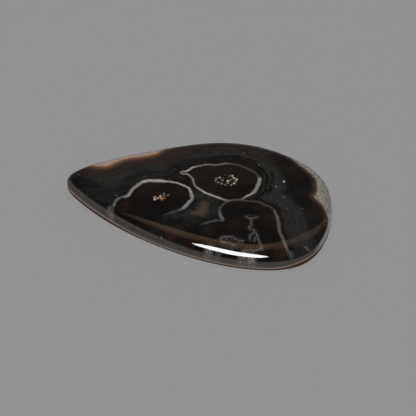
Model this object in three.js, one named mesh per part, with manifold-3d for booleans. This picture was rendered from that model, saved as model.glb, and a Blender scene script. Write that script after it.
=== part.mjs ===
// A polished teardrop cabochon of banded agate, lying on its flat back.
// Millimetres, +Z up. The origin is the middle of the back, and +X points to the round end.

import * as THREE from "three";
import { mergeVertices } from "three/addons/utils/BufferGeometryUtils.js";
import Module from "manifold-3d";

// Outline, seen from above
const LENGTH = 55.6; // from the tip to the round end
const HALF_LENGTH = LENGTH / 2;
// Half width and middle line along the stone, as powers of u: u is -1 at the tip and +1 at the round end
const HALF_WIDTH_TERMS = [16.2, 7.7, -1.8, -2.1, 3.4, 5.7];
const MIDDLE_LINE_TERMS = [0.44, -0.1, -2.8, -3.7, 3.3, 2.4, -1.2];

// Profile, from the back up
const THICKNESS = 5.5;
const BEVEL_HEIGHT = 0.6; // the bevel round the back edge
const BEVEL_INSET = 0.25;
const GIRDLE_TOP_MIDDLE = 1.75; // where the upright edge ends half way along
const GIRDLE_TOP_SLOPE = -0.45; // it is higher at the tip and lower at the round end
const DOME_POWER = 6; // a high power gives a nearly flat face and a rounded shoulder

// Fineness of the surface
const STEPS_AROUND = 112;
const STEPS_UP_DOME = 13;

// Crystal pockets in the face: middle, half sizes, turn in degrees, depth and number of crystals
const POCKETS = [
  { x: 5.5, y: 2.4, halfX: 2.5, halfY: 1.75, turn: 8, depth: 0.75, crystals: 12, seed: 3 },
  { x: -6.9, y: -4.65, halfX: 1.95, halfY: 1.3, turn: 14, depth: 0.6, crystals: 8, seed: 8 },
];
const POCKET_STEPS_AROUND = 20;
const POCKET_WAVE = 0.11; // how far a pocket's rim wanders from an oval, as a share of its size
const POCKET_SMALL_WAVE = 0.065;
// A pocket's size at three heights, given as a share of its depth above the face
const POCKET_LEVELS = [
  { scale: 0.62, height: -1 },
  { scale: 0.94, height: -0.5 },
  { scale: 1.02, height: 0.4 },
];

// Quartz crystals in the pockets
const CRYSTAL_SIDES = 6;
const CRYSTAL_RADIUS = [0.26, 0.46];
const CRYSTAL_TAPER = 1.1; // the root's radius against the shoulder's
const CRYSTAL_POINT_HEIGHT = 1.1; // the point's height against the radius
const CRYSTAL_TIP_BELOW_FACE = 0.1; // the polished face stands over every crystal tip
const CRYSTAL_TIP_SPREAD = 0.28;
const CRYSTAL_ROOT_DEPTH = 0.5; // how far a crystal is sunk in the pocket's floor
const CRYSTAL_LEAN = 20; // largest lean from upright, in degrees
const CRYSTAL_REACH = 0.86; // the outermost crystal's place, as a share of the pocket's size
const GOLDEN_ANGLE = Math.PI * (3 - Math.sqrt(5));
const SCATTER_STEP = 12.9898; // any unrelated large steps make numbers that look random
const SCATTER_SEED_STEP = 78.233;
const SCATTER_SPREAD = 43758.5453;

const agate = new THREE.MeshStandardMaterial({ color: 0x2e2622, roughness: 0.08, metalness: 0 });

const wasm = await Module();
wasm.setup();

function powerSum(terms, u) {
  return terms.reduceRight((sum, term) => sum * u + term, 0);
}

function girdleTop(u) {
  return GIRDLE_TOP_MIDDLE + GIRDLE_TOP_SLOPE * u;
}

// A point of the outline shrunk to the share rho of its size, and pulled in by a distance in millimetres
function outlinePoint(rho, angle, inset = 0) {
  const u = -Math.cos(angle) * rho;
  const v = Math.sin(angle) * rho;
  const x = (HALF_LENGTH - inset) * u;
  const y = powerSum(MIDDLE_LINE_TERMS, u) + (powerSum(HALF_WIDTH_TERMS, u) - inset) * v;
  return { x, y, u };
}

// The height of the polished face over a point of the outline's inside
function domeHeight(rho, u) {
  const foot = girdleTop(u);
  return foot + (THICKNESS - foot) * Math.sqrt(Math.max(0, 1 - rho ** DOME_POWER));
}

function faceHeightAt(x, y) {
  const u = x / HALF_LENGTH;
  const v = (y - powerSum(MIDDLE_LINE_TERMS, u)) / powerSum(HALF_WIDTH_TERMS, u);
  return domeHeight(Math.hypot(u, v), u);
}

// Closed skin through rings of equal length, listed from the bottom to the top
function skinOfRings(rings, bottomMiddle, topMiddle) {
  const steps = rings[0].length;
  const points = [...rings.flat(), bottomMiddle, topMiddle];
  const bottomIndex = points.length - 2;
  const topIndex = points.length - 1;
  const lastRing = (rings.length - 1) * steps;
  const triangles = [];
  for (let i = 0; i < steps; i++) {
    const next = (i + 1) % steps;
    triangles.push(bottomIndex, next, i);
    triangles.push(topIndex, lastRing + i, lastRing + next);
    for (let start = 0; start < lastRing; start += steps) {
      const upper = start + steps;
      triangles.push(start + i, start + next, upper + next);
      triangles.push(start + i, upper + next, upper + i);
    }
  }
  const geometry = new THREE.BufferGeometry();
  geometry.setAttribute("position", new THREE.Float32BufferAttribute(points.flat(), 3));
  geometry.setIndex(triangles);
  return geometry;
}

function toSolid(geometry) {
  geometry.deleteAttribute("normal");
  geometry.deleteAttribute("uv");
  const merged = mergeVertices(geometry);
  const vertProperties = new Float32Array(merged.attributes.position.array);
  const triVerts = new Uint32Array(merged.index.array);
  return new wasm.Manifold(new wasm.Mesh({ numProp: 3, vertProperties, triVerts }));
}

function toGeometry(solid) {
  const mesh = solid.getMesh();
  const geometry = new THREE.BufferGeometry();
  geometry.setAttribute("position", new THREE.BufferAttribute(mesh.vertProperties, 3));
  geometry.setIndex(new THREE.BufferAttribute(mesh.triVerts, 1));
  geometry.computeVertexNormals();
  return geometry;
}

// Angles run clockwise from the tip, so they are taken backwards to keep the skin's faces outward
function ringOfStone(heightOf, rho = 1, inset = 0) {
  const ring = [];
  for (let i = 0; i < STEPS_AROUND; i++) {
    const angle = (-2 * Math.PI * i) / STEPS_AROUND;
    const { x, y, u } = outlinePoint(rho, angle, inset);
    ring.push([x, y, heightOf(u)]);
  }
  return ring;
}

function stoneBlank() {
  const rings = [
    ringOfStone(() => 0, 1, BEVEL_INSET),
    ringOfStone(() => BEVEL_HEIGHT),
    ringOfStone(girdleTop),
  ];
  for (let i = 1; i < STEPS_UP_DOME; i++) {
    const climb = (i / STEPS_UP_DOME) * (Math.PI / 2);
    const rho = Math.cos(climb) ** (2 / DOME_POWER);
    rings.push(ringOfStone((u) => domeHeight(rho, u), rho));
  }
  const middle = powerSum(MIDDLE_LINE_TERMS, 0);
  return toSolid(skinOfRings(rings, [0, middle, 0], [0, middle, THICKNESS]));
}

// A point in a pocket's own plane, where 1 is the rim
function pocketPoint(pocket, scale, angle) {
  const wave = POCKET_WAVE * Math.sin(3 * angle + pocket.seed);
  const smallWave = POCKET_SMALL_WAVE * Math.sin(5 * angle - pocket.seed);
  const reach = scale * (1 + wave + smallWave);
  const turn = THREE.MathUtils.degToRad(pocket.turn);
  const along = pocket.halfX * reach * Math.cos(angle);
  const across = pocket.halfY * reach * Math.sin(angle);
  const x = pocket.x + along * Math.cos(turn) - across * Math.sin(turn);
  const y = pocket.y + along * Math.sin(turn) + across * Math.cos(turn);
  return [x, y];
}

// The bowl that is cut out of the face, standing a little way over it
function pocketBowl(pocket) {
  const face = faceHeightAt(pocket.x, pocket.y);
  const rings = POCKET_LEVELS.map(({ scale, height }) => {
    const ring = [];
    for (let i = 0; i < POCKET_STEPS_AROUND; i++) {
      const angle = (2 * Math.PI * i) / POCKET_STEPS_AROUND;
      ring.push([...pocketPoint(pocket, scale, angle), face + height * pocket.depth]);
    }
    return ring;
  });
  const [bottomZ, topZ] = [rings[0][0][2], rings.at(-1)[0][2]];
  return toSolid(skinOfRings(rings, [pocket.x, pocket.y, bottomZ], [pocket.x, pocket.y, topZ]));
}

// A repeatable number from 0 to 1 for each place in a list
function scatter(index, seed) {
  const value = SCATTER_SPREAD * Math.sin(SCATTER_STEP * index + SCATTER_SEED_STEP * seed);
  return value - Math.floor(value);
}

// A six-sided quartz point with its root at the origin and its tip at the given height
function crystalAt(radius, height) {
  const tip = CRYSTAL_POINT_HEIGHT * radius;
  const stem = new THREE.CylinderGeometry(radius, radius * CRYSTAL_TAPER, height - tip, CRYSTAL_SIDES, 1);
  stem.translate(0, (height - tip) / 2, 0);
  const point = new THREE.ConeGeometry(radius, tip, CRYSTAL_SIDES, 1);
  point.translate(0, height - tip / 2, 0);
  const whole = toSolid(stem).add(toSolid(point));
  return whole.rotate([90, 0, 0]);
}

function pocketCrystals(pocket) {
  const face = faceHeightAt(pocket.x, pocket.y);
  const [thin, thick] = CRYSTAL_RADIUS;
  const crystals = [];
  for (let i = 0; i < pocket.crystals; i++) {
    const out = Math.sqrt((i + 0.5) / pocket.crystals);
    const angle = i * GOLDEN_ANGLE;
    const [x, y] = pocketPoint(pocket, CRYSTAL_REACH * out, angle);
    const radius = thin + (thick - thin) * scatter(i, pocket.seed);
    const below = CRYSTAL_TIP_BELOW_FACE + CRYSTAL_TIP_SPREAD * scatter(i, pocket.seed + 1);
    const root = face - pocket.depth - CRYSTAL_ROOT_DEPTH;
    const leanX = CRYSTAL_LEAN * (2 * scatter(i, pocket.seed + 2) - 1);
    const leanY = CRYSTAL_LEAN * (2 * scatter(i, pocket.seed + 3) - 1);
    const turn = (360 / CRYSTAL_SIDES) * scatter(i, pocket.seed + 4);
    const crystal = crystalAt(radius, face - below - root);
    crystals.push(crystal.rotate([leanX, leanY, turn]).translate([x, y, root]));
  }
  return crystals;
}

function stone() {
  let solid = stoneBlank();
  for (const pocket of POCKETS) {
    solid = solid.subtract(pocketBowl(pocket));
  }
  for (const pocket of POCKETS) {
    for (const crystal of pocketCrystals(pocket)) {
      solid = solid.add(crystal);
    }
  }
  const mesh = new THREE.Mesh(toGeometry(solid), agate);
  mesh.name = "stone";
  return mesh;
}

const cabochon = new THREE.Group();
cabochon.name = "agate_cabochon";
cabochon.add(stone());

export default cabochon;
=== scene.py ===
import math
import bpy
import bmesh
import numpy as np
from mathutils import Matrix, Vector, noise


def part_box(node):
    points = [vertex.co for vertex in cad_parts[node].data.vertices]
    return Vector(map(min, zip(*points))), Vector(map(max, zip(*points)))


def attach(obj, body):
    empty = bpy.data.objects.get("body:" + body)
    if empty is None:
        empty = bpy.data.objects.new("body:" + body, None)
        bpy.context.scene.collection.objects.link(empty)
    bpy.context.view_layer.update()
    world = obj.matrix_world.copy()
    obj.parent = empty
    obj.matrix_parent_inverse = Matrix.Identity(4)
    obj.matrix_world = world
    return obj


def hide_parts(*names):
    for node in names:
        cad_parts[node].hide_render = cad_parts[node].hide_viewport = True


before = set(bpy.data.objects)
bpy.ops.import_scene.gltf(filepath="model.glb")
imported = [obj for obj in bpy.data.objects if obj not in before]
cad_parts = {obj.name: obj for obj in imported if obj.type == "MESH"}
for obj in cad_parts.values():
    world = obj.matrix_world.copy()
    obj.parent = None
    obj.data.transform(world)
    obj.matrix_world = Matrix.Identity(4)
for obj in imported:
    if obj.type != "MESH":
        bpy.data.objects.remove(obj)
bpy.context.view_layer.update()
mm = 0.001
print("frame loaded")


# Small helpers for node trees

class Wire:  # a node's output, which goes into sums as a number does
    def __init__(self, socket):
        self.socket = socket
        self.tree = socket.id_data

    def __add__(self, other):
        return calc("ADD", self, other)

    def __sub__(self, other):
        return calc("SUBTRACT", self, other)

    def __rsub__(self, other):
        return calc("SUBTRACT", other, self)

    def __mul__(self, other):
        return calc("MULTIPLY", self, other)

    def __truediv__(self, other):
        return calc("DIVIDE", self, other)

    def __pow__(self, other):
        return calc("POWER", self, other)

    def __abs__(self):
        return calc("ABSOLUTE", self)


def feed(socket, value):  # a wire is linked, anything else becomes the input's own value
    if isinstance(value, Wire):
        value.tree.links.new(value.socket, socket)
    else:
        socket.default_value = value


def addNode(tree, kind, inputs=None, output=0, **settings):  # gives one output as a wire
    node = tree.nodes.new(kind)
    for name, value in settings.items():
        setattr(node, name, value)
    for key, value in (inputs or {}).items():
        feed(node.inputs[key], value)
    return Wire(node.outputs[output])


def calc(operation, *values):
    tree = next(value.tree for value in values if isinstance(value, Wire))
    return addNode(tree, "ShaderNodeMath", dict(enumerate(values)), operation=operation)


def highest(first, *others):
    for other in others:
        first = calc("MAXIMUM", first, other)
    return first


def scaled(vector, factor):  # also dims or brightens a colour
    return addNode(vector.tree, "ShaderNodeVectorMath", {0: vector, "Scale": factor}, operation="SCALE")


def parts(vector):
    node = vector.tree.nodes.new("ShaderNodeSeparateXYZ")
    feed(node.inputs[0], vector)
    return [Wire(output) for output in node.outputs]


def mixColour(share, first, second):
    return addNode(share.tree, "ShaderNodeMix", {0: share, 6: first, 7: second}, 2, data_type="RGBA")


def powerSum(terms, u):  # terms[0] + terms[1] u + terms[2] u^2 and so on, as a chain of nodes
    total = terms[-1]
    for term in reversed(terms[:-1]):
        total = total * u + term
    return total


def startForm(name, inputs):  # a Geometry Nodes tree, and its inputs by name
    tree = bpy.data.node_groups.new(name, "GeometryNodeTree")
    kinds = {"Geometry": "NodeSocketGeometry", "Material": "NodeSocketMaterial", "Seed": "NodeSocketInt"}
    for label in ["Geometry", *inputs, "Material"]:
        kind = kinds.get(label, "NodeSocketFloat")
        tree.interface.new_socket(name=label, in_out="INPUT", socket_type=kind)
    tree.interface.new_socket(name="Geometry", in_out="OUTPUT", socket_type=kinds["Geometry"])
    return tree, {output.name: Wire(output) for output in tree.nodes.new("NodeGroupInput").outputs}


def endForm(geometry, material):
    tree = geometry.tree
    real = addNode(tree, "GeometryNodeRealizeInstances", {"Geometry": geometry})
    painted = addNode(tree, "GeometryNodeSetMaterial", {"Geometry": real, "Material": material})
    feed(tree.nodes.new("NodeGroupOutput").inputs[0], painted)
    return tree


def runNodes(holder, tree, values):  # sets the tree's inputs, evaluates it and returns the plain mesh
    modifier = holder.modifiers.new(tree.name, "NODES")
    modifier.node_group = tree
    for item in tree.interface.items_tree:
        if item.item_type == "SOCKET" and item.in_out == "INPUT" and item.name in values:
            modifier[item.identifier] = values[item.name]
    holder.update_tag()
    evaluated = holder.evaluated_get(bpy.context.evaluated_depsgraph_get())
    mesh = bpy.data.meshes.new_from_object(evaluated)
    bpy.data.objects.remove(holder)
    return mesh


def addObject(name, data):
    item = bpy.data.objects.new(name, data)
    bpy.context.scene.collection.objects.link(item)
    return item


def newMaterial(name):
    material = bpy.data.materials.new(name)
    material.use_nodes = True
    return material, material.node_tree


def storeNumbers(mesh, name, values):
    layer = mesh.attributes.new(name, "FLOAT", "POINT")
    layer.data.foreach_set("value", np.asarray(values, np.float32))


def storeVectors(mesh, name, columns):
    layer = mesh.attributes.new(name, "FLOAT_VECTOR", "POINT")
    layer.data.foreach_set("vector", np.column_stack(columns).astype(np.float32).ravel())


def readNumbers(mesh, name):
    values = np.empty(len(mesh.vertices), np.float32)
    mesh.attributes[name].data.foreach_get("value", values)
    return values


def meshPoints(mesh):
    points = np.empty(len(mesh.vertices) * 3, np.float32)
    mesh.vertices.foreach_get("co", points)
    return points.reshape(-1, 3).astype(float)


def linear(red, green, blue):  # 0 to 255 as seen on a screen, to the values that a shader takes
    levels = []
    for share in (red / 255, green / 255, blue / 255):
        levels.append(share / 12.92 if share <= 0.04045 else ((share + 0.055) / 1.055) ** 2.4)
    return tuple(levels) + (1.0,)


# Camera at the photo's angle

cameraSetup = {
    "azimuth": 8.35,  # degrees from looking along +Y
    "elevation": 42.0,
    "distance": 300.0,  # mm
    "target": (2.51, -2.79, 2.0),  # mm
    "lens": 126.6,  # mm, on a 36 mm sensor
    "clip": (0.01, 20.0),  # m
}


def makeCamera(setup):
    turn, rise = math.radians(setup["azimuth"]), math.radians(setup["elevation"])
    back = Vector((math.sin(turn) * math.cos(rise), -math.cos(turn) * math.cos(rise), math.sin(rise)))
    data = bpy.data.cameras.new("camera")
    data.lens = setup["lens"]
    data.clip_start, data.clip_end = setup["clip"]
    camera = addObject("camera", data)
    camera.rotation_mode = "QUATERNION"
    camera.location = (Vector(setup["target"]) + back * setup["distance"]) * mm
    camera.rotation_quaternion = (-back).to_track_quat("-Z", "Y")
    bpy.context.scene.camera = camera


makeCamera(cameraSetup)
bpy.context.scene.view_settings.view_transform = "Standard"
print("camera set")


# Floor, surroundings and lights

studio = {
    "floorSize": 8.0,  # m
    "floorDrop": 0.02,  # mm under the stone's back
    "backdrop": linear(146, 146, 146),
    "floorGlow": 0.85,  # share of the floor's brightness that no shadow dims
    "floorMirrored": 0.3,  # how bright the polish mirrors the floor
    "skyDiffuse": 0.5,  # what lights matt surfaces
    "skyMirrored": 0.012,  # the dark room in the polish
    "overheadSize": 1.3,  # m
    "overheadPlace": (-0.1, -0.15, 1.1),  # m
    "overheadPower": 9.0,  # W
    "windowAzimuth": 165.2,  # the white highlight along the front shoulder
    "windowElevation": 42.0,
    "windowDistance": 1.0,
    "windowStrength": 21.5,
    "windowOutline": (  # m, across and up, seen from the stone
        (-0.265, -0.1), (-0.235, -0.195), (-0.08, -0.215), (0.045, -0.225), (0.18, -0.165), (0.32, -0.03),
        (0.38, 0.13), (0.39, 0.215), (0.33, 0.25), (0.27, 0.27), (0.19, 0.275), (0.05, 0.22), (-0.11, 0.195),
        (-0.2, 0.1)),
    "cardHeight": 1.0,  # the warm strip overhead
    "cardColour": (0.75, 0.48, 0.295, 1),
    "cardStrength": 1.05,
    "cardRows": (  # from its far to its near edge: x and y in m, and how bright the strip is there
        ((-1.19, -0.53, 0.3), (-0.68, -0.18, 0.8), (-0.5, -0.06, 1.0), (-0.37, 0.01, 1.0),
         (-0.28, 0.03, 1.0), (-0.11, 0.06, 1.0), (0.04, 0.11, 1.0), (0.13, 0.23, 0.8), (0.24, 0.38, 0.6),
         (0.35, 0.48, 0.35), (0.53, 0.63, 0.3), (0.76, 0.79, 0.5), (1.18, 1.1, 0.65), (2.1, 1.97, 0.6),
         (4.5, 4.4, 0.5)),
        ((-1.34, -0.66, 0.25), (-0.79, -0.32, 0.7), (-0.61, -0.25, 0.9), (-0.46, -0.2, 1.0),
         (-0.33, -0.15, 0.9), (-0.13, -0.14, 0.95), (0.05, -0.04, 1.0), (0.14, 0.13, 0.9),
         (0.27, 0.27, 0.7), (0.39, 0.39, 0.5), (0.58, 0.55, 0.7), (0.86, 0.71, 0.6), (1.3, 1.07, 0.5),
         (2.4, 2.07, 0.3), (5.5, 4.6, 0.2)),
        ((-1.65, -0.9, 0.2), (-1.05, -0.61, 0.35), (-0.92, -0.69, 0.35), (-0.71, -0.67, 0.35),
         (-0.47, -0.52, 0.3), (-0.2, -0.55, 0.35), (0.06, -0.33, 0.4), (0.17, -0.06, 0.35),
         (0.32, 0.07, 0.3), (0.45, 0.25, 0.15), (0.69, 0.41, 0.15), (1.09, 0.58, 0.15), (1.56, 1.05, 0.2),
         (3.32, 2.47, 0.1), (7.0, 5.5, 0.05))),
}


def shade(colour, share):
    return tuple(level * share for level in colour[:3]) + (1,)


def makeFloor(setup):
    half = setup["floorSize"] / 2
    mesh = bpy.data.meshes.new("floor")
    corners = [(-half, -half, 0), (half, -half, 0), (half, half, 0), (-half, half, 0)]
    mesh.from_pydata(corners, [], [(0, 1, 2, 3)])
    material, tree = newMaterial("paleFloor")
    inputs = tree.nodes["Principled BSDF"].inputs
    mirrored = addNode(tree, "ShaderNodeLightPath", output="Is Glossy Ray")
    for name, share in (("Base Color", 1 - setup["floorGlow"]), ("Emission Color", setup["floorGlow"])):
        seen = shade(setup["backdrop"], share)
        feed(inputs[name], mixColour(mirrored, seen, shade(seen, setup["floorMirrored"])))
    for name, value in (("Emission Strength", 1.0), ("Roughness", 1.0), ("Specular IOR Level", 0.0)):
        inputs[name].default_value = value
    mesh.materials.append(material)
    floor = addObject("floor", mesh)
    floor.location.z = -setup["floorDrop"] * mm


def makeSky(setup):
    world = bpy.data.worlds.new("studio")
    bpy.context.scene.world = world
    world.use_nodes = True
    tree = world.node_tree
    tree.nodes.clear()
    white = (1, 1, 1, 1)
    dim, dark = shade(white, setup["skyDiffuse"]), shade(white, setup["skyMirrored"])
    soft = mixColour(addNode(tree, "ShaderNodeLightPath", output="Is Glossy Ray"), dim, dark)
    shown = mixColour(addNode(tree, "ShaderNodeLightPath", output="Is Camera Ray"), soft, setup["backdrop"])
    sky = addNode(tree, "ShaderNodeBackground", {"Color": shown})
    feed(tree.nodes.new("ShaderNodeOutputWorld").inputs[0], sky)


def makeOverhead(setup):  # the broad soft light, left out of the polish
    data = bpy.data.lights.new("overheadSoftbox", "AREA")
    data.size = setup["overheadSize"]
    data.energy = setup["overheadPower"]
    light = addObject("overheadSoftbox", data)
    light.location = setup["overheadPlace"]
    light.visible_glossy = False


def makeGlow(name, corners, faces, glows, colour, strength):  # a card that only the polish mirrors
    mesh = bpy.data.meshes.new(name)
    mesh.from_pydata(corners, [], faces)
    storeNumbers(mesh, "glow", glows)
    material, tree = newMaterial(name)
    tree.nodes.clear()
    share = addNode(tree, "ShaderNodeAttribute", output="Fac", attribute_name="glow")
    glow = addNode(tree, "ShaderNodeEmission", {"Color": colour, "Strength": share * strength})
    feed(tree.nodes.new("ShaderNodeOutputMaterial").inputs[0], glow)
    mesh.materials.append(material)
    card = addObject(name, mesh)
    card.visible_camera = card.visible_diffuse = card.visible_shadow = False


def makeWindow(setup):  # the softbox behind the white highlight
    turn, rise = math.radians(setup["windowAzimuth"]), math.radians(setup["windowElevation"])
    way = Vector((-math.sin(turn) * math.cos(rise), math.cos(turn) * math.cos(rise), math.sin(rise)))
    across = Vector((0, 0, 1)).cross(way).normalized()
    up = way.cross(across)
    corners = [way * setup["windowDistance"] + across * a + up * b for a, b in setup["windowOutline"]]
    face = tuple(range(len(corners)))
    makeGlow("windowSoftbox", corners, [face], [1.0] * len(corners), (1, 1, 1, 1), setup["windowStrength"])


def makeWarmCard(setup):  # a tan strip overhead that the polish mirrors as a brown arc
    rows = setup["cardRows"]
    count = len(rows[0])
    corners = [(x, y, setup["cardHeight"]) for row in rows for x, y, _ in row]
    faces = [(start + i, start + i + 1, start + count + i + 1, start + count + i)
             for start in range(0, count * (len(rows) - 1), count) for i in range(count - 1)]
    glows = [glow for row in rows for _, _, glow in row]
    makeGlow("warmCard", corners, faces, glows, setup["cardColour"], setup["cardStrength"])


makeFloor(studio)
makeSky(studio)
makeOverhead(studio)
makeWindow(studio)
makeWarmCard(studio)
print("studio made")


# The stone's form

lowCorner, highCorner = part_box("stone")
form = {
    "Half Length": (highCorner[0] - lowCorner[0]) / 2 / mm,
    "Thickness": highCorner[2] / mm,
    "Girdle Top": 1.75,  # mm, half way along
    "Girdle Slope": -0.45,  # higher at the tip
    "Dome Power": 6.0,
}
halfWidthTerms = (16.2, 7.7, -1.8, -2.1, 3.4, 5.7)  # powers of u, -1 at the tip and 1 at the round end
middleLineTerms = (0.44, -0.1, -2.8, -3.7, 3.3, 2.4, -1.2)
planTerms = {"Half Width": halfWidthTerms, "Middle Line": middleLineTerms}
bevel = {
    "height": 0.6,
    "inset": 0.25,
    "upperRounding": 0.14,
    "lowerRounding": 0.07,
    "roundingSteps": 4,
}
blank = {
    "cells": 216,  # quads across the face; even
    "wallRows": 6,
    "backRim": 0.9,  # mm from the outline to the even grid on the back
    "refine": 3,  # extra cuts round the pockets
    "refineMargin": 0.35,  # mm beyond a pocket's rim
    "usualReach": 18.0,  # mm from the middle to the rim, and down the shoulder, for the spacing of the rings
    "usualDrop": 3.75,
}
pockets = (  # mm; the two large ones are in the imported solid
    {"x": 5.5, "y": 2.4, "halfX": 2.5, "halfY": 1.75, "turn": 8, "depth": 0.75, "seed": 3},
    {"x": -6.9, "y": -4.65, "halfX": 1.95, "halfY": 1.3, "turn": 14, "depth": 0.6, "seed": 8},
)
# a pit's brightness is partly its crystals' white, partly a painted glint
pits = (  # x, y, radius in mm, how bright the crystals in it are
    (17.3, 3.9, 0.27, 0.9), (15.9, 2.05, 0.18, 0.85), (11.6, 8.2, 0.17, 0.62))
hollowShape = {
    "pitDepth": 0.6,  # share of the radius
    "pitSeed": 5,
    "waves": ((0.11, 3, 1), (0.065, 5, -1)),  # how rims wander: share of the size, waves, way of the seed
    "rim": (1.02, 0.66),  # the wall's top and foot, as shares of the size
    "crumbScale": (2.4, 2.7),  # bumps for each mm, and how much finer the fine ones are
    "crumbChange": (0.28, 0.16),  # how far coarse and fine bumps change the depth
    "crumbsBelow": 0.02,  # mm under the face, where the crumbs start
}


def polynomial(terms, u):
    return sum(term * u ** power for power, term in enumerate(terms))


def slope(terms, u):
    return sum(power * term * u ** (power - 1) for power, term in enumerate(terms) if power)


def planOf(discX, discY):  # unit disc to plan, in mm
    y = polynomial(middleLineTerms, discX) + polynomial(halfWidthTerms, discX) * discY
    return form["Half Length"] * discX, y


def faceHeight(x, y):
    u = x / form["Half Length"]
    v = (y - polynomial(middleLineTerms, u)) / polynomial(halfWidthTerms, u)
    girdle = form["Girdle Top"] + form["Girdle Slope"] * u
    rise = np.clip(1 - (u * u + v * v) ** (form["Dome Power"] / 2), 0, 1)
    return girdle + (form["Thickness"] - girdle) * np.sqrt(rise)


def evenReach(steps):  # disc radii that space rings evenly along the face and down the shoulder
    rho = 1 - np.linspace(1, 0, 4000) ** 3
    drop = blank["usualDrop"] * (1 - np.sqrt(np.clip(1 - rho ** form["Dome Power"], 0, 1)))
    path = np.concatenate([[0], np.cumsum(np.hypot(np.diff(blank["usualReach"] * rho), np.diff(drop)))])
    return np.interp(np.linspace(0, path[-1], steps + 1), path, rho)


def discGrid(cells, radii):  # a square grid bent into a disc, and its rim in order
    side = np.linspace(-1, 1, cells + 1)
    a, b = np.meshgrid(side, side, indexing="ij")
    flat = np.abs(a) > np.abs(b)
    reach = np.where(flat, a, b)
    safe = np.where(reach == 0, 1, reach)
    angle = np.where(flat, math.pi / 4 * b / safe, math.pi / 2 - math.pi / 4 * a / safe)
    ring = np.rint(np.abs(reach) * (cells // 2)).astype(int)
    reach = np.sign(reach) * radii[ring]
    points = np.stack([reach * np.cos(angle), reach * np.sin(angle)], -1).reshape(-1, 2)
    points /= np.maximum(1, np.linalg.norm(points, axis=1))[:, None]
    index = np.arange((cells + 1) ** 2).reshape(cells + 1, cells + 1)
    faces = np.stack([index[:-1, :-1], index[1:, :-1], index[1:, 1:], index[:-1, 1:]], -1).reshape(-1, 4)
    rim = np.concatenate([index[:-1, 0], index[-1, :-1], index[:0:-1, -1], index[0, :0:-1]])
    return points, faces, rim


def roundedCorner(before, corner, after, reach):
    before, corner, after = map(np.array, (before, corner, after))
    start = corner + (before - corner) / np.linalg.norm(before - corner) * reach
    end = corner + (after - corner) / np.linalg.norm(after - corner) * reach
    shares = np.linspace(0, 1, bevel["roundingSteps"])
    return [tuple((1 - t) ** 2 * start + 2 * t * (1 - t) * corner + t * t * end) for t in shares]


def edgeRows():  # rows below the face, as (inset, foot height, share of the climb to the girdle's top)
    up, inward = (0.0, 2.0), (2.0, 0.0)
    wallFoot = (0.0, bevel["height"])
    backEdge = (bevel["inset"], 0.0)
    upper = roundedCorner(up, wallFoot, backEdge, bevel["upperRounding"])
    lower = roundedCorner(wallFoot, backEdge, inward, bevel["lowerRounding"])
    middle = tuple((np.array(upper[-1]) + np.array(lower[0])) / 2)
    wall = [(0.0, upper[0][1], 1 - row / blank["wallRows"]) for row in range(1, blank["wallRows"])]
    return wall + [(inset, height, 0.0) for inset, height in upper + [middle] + lower]


def wander(hollow, angle):  # how far a hollow's rim is from an oval, as a share of its size
    seed = hollow["seed"]
    return sum(share * np.sin(waves * angle + way * seed) for share, waves, way in hollowShape["waves"])


def pocketReach(pocket, x, y):  # 0 in the pocket's middle, 1 on its wandering rim
    turn = math.radians(pocket["turn"])
    dx, dy = x - pocket["x"], y - pocket["y"]
    along = (dx * math.cos(turn) + dy * math.sin(turn)) / pocket["halfX"]
    across = (dy * math.cos(turn) - dx * math.sin(turn)) / pocket["halfY"]
    return np.hypot(along, across) / (1 + wander(pocket, np.arctan2(across, along)))


def pocketPlace(pocket, reach, angle):
    turn = math.radians(pocket["turn"])
    along = pocket["halfX"] * reach * (1 + wander(pocket, angle)) * math.cos(angle)
    across = pocket["halfY"] * reach * (1 + wander(pocket, angle)) * math.sin(angle)
    x = pocket["x"] + along * math.cos(turn) - across * math.sin(turn)
    return x, pocket["y"] + along * math.sin(turn) + across * math.cos(turn)


def allHollows():
    small = [{"x": x, "y": y, "halfX": size, "halfY": size, "turn": 0, "seed": hollowShape["pitSeed"],
              "depth": hollowShape["pitDepth"] * size} for x, y, size, _ in pits]
    return list(pockets) + small


def nearestHollow(hollows, x, y):
    return np.min([pocketReach(hollow, x, y) for hollow in hollows], axis=0)


def smoothStep(low, high, value):
    t = np.clip((value - low) / (high - low), 0, 1)
    return t * t * (3 - 2 * t)


def sinkAt(x, y):  # how far the surface lies below the polished face, in mm
    sink = np.zeros_like(x)
    for hollow in allHollows():
        sink = np.maximum(sink, hollow["depth"] * smoothStep(*hollowShape["rim"], pocketReach(hollow, x, y)))
    scale, finer = hollowShape["crumbScale"]
    coarse, fine = hollowShape["crumbChange"]
    for i in np.nonzero(sink > hollowShape["crumbsBelow"])[0]:  # a crumbly floor and walls
        spot = Vector((x[i] * scale, y[i] * scale, 0.7))
        sink[i] *= 1 + coarse * noise.noise(spot) + fine * noise.noise(spot * finer)
    return sink


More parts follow.
